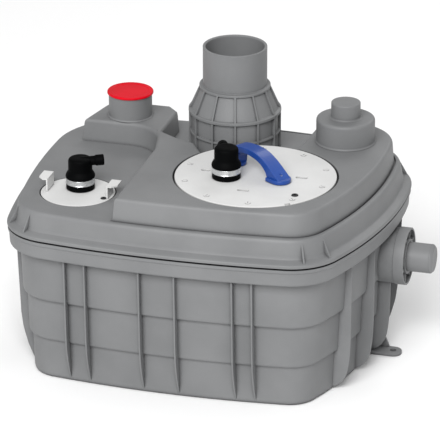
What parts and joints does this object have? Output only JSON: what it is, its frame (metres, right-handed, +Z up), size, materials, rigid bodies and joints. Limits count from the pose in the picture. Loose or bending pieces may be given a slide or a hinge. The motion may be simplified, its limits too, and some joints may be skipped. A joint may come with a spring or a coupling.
{
  "type": "macerator lifting station pump",
  "caption": "Grey moulded sewage lifting tank with macerator pump under a round white plate, blue lifting handle, capped vent, open vertical inlet and side outlet.",
  "frame": {"origin": "centre of the tank's flat base, on the floor", "axes": "+Z up, +X to the right along the long side towards the outlet, front face at -Y"},
  "size_m": [0.7104, 0.5224, 0.497],
  "materials": {
    "grey_plastic": "moulded satin grey polyethylene with a fine grain",
    "black_rubber": "soft black rubber",
    "red_plastic": "bright red satin plastic",
    "dark_plastic": "dark grey moulded plastic",
    "steel": "brushed stainless steel",
    "motor_steel": "drawn stainless motor can",
    "cast_iron": "painted cast pump casing",
    "white_plate": "off-white moulded plate",
    "dark_metal": "blackened screw",
    "blue_plastic": "blue moulded plastic with a soft sheen",
    "core_steel": "laminated core",
    "copper": "varnished copper windings"
  },
  "bodies": {
    "tank": {"tank": "grey_plastic", "lid": "grey_plastic", "lid_gasket": "black_rubber", "inlet_reducer": "grey_plastic", "vent_socket": "grey_plastic", "blanked_inlet": "grey_plastic", "outlet_hub": "grey_plastic", "outlet_pipe": "grey_plastic", "outlet_plug": "grey_plastic", "outlet_seal": "black_rubber", "discharge_riser": "dark_plastic", "riser_seal": "black_rubber", "valve_body": "dark_plastic", "valve_cover": "dark_plastic", "valve_cover_screws": "steel", "valve_pin": "steel"},
    "vent_cap": {"vent_cap": "red_plastic"},
    "valve_flap": {"valve_flap": "black_rubber"},
    "pump_module": {"pump_plate": "white_plate", "pump_plate_seal": "black_rubber", "pump_plate_screws": "white_plate", "earth_screw": "dark_metal", "lifting_handle": "blue_plastic", "handle_screws": "steel", "motor_boot": "black_rubber", "motor_boot_clamp": "steel", "motor_housing": "motor_steel", "stator": "core_steel", "windings": "copper", "upper_bearing": "steel", "lower_bearing": "steel", "shaft_seal": "black_rubber", "pump_casing": "cast_iron", "fixed_cutter": "steel", "suction_cage": "steel"},
    "rotor": {"pump_shaft": "steel", "rotor_core": "core_steel", "impeller": "steel", "rotating_cutter": "steel", "cutter_nut": "steel"},
    "sensor_module": {"sensor_plate": "white_plate", "sensor_plate_seal": "black_rubber", "sensor_plate_screw": "dark_metal", "left_hook": "white_plate", "right_hook": "white_plate", "sensor_boot": "black_rubber", "sensor_boot_clamp": "steel", "level_tube": "dark_plastic", "alarm_tube": "dark_plastic", "pressure_switch": "dark_plastic"}
  },
  "joints": [
    {"name": "pump_lift", "type": "slide", "parent": "tank", "child": "pump_module", "axis": [0, 0, 1], "range_m": [0, 0.34]},
    {"name": "rotor_spin", "type": "hinge", "parent": "pump_module", "child": "rotor", "pos_m": [0.099, -0.068, 0.1], "axis": [0, 0, 1], "continuous": true},
    {"name": "vent_cap_pull", "type": "slide", "parent": "tank", "child": "vent_cap", "axis": [0, 0, 1], "range_m": [0, 0.03]},
    {"name": "sensor_lift", "type": "slide", "parent": "tank", "child": "sensor_module", "axis": [0, 0, 1], "range_m": [0, 0.26]},
    {"name": "flap_swing", "type": "hinge", "parent": "tank", "child": "valve_flap", "pos_m": [0.1964, 0.049, 0.211], "axis": [0, -1, 0], "range_deg": [0, 55]}
  ]
}
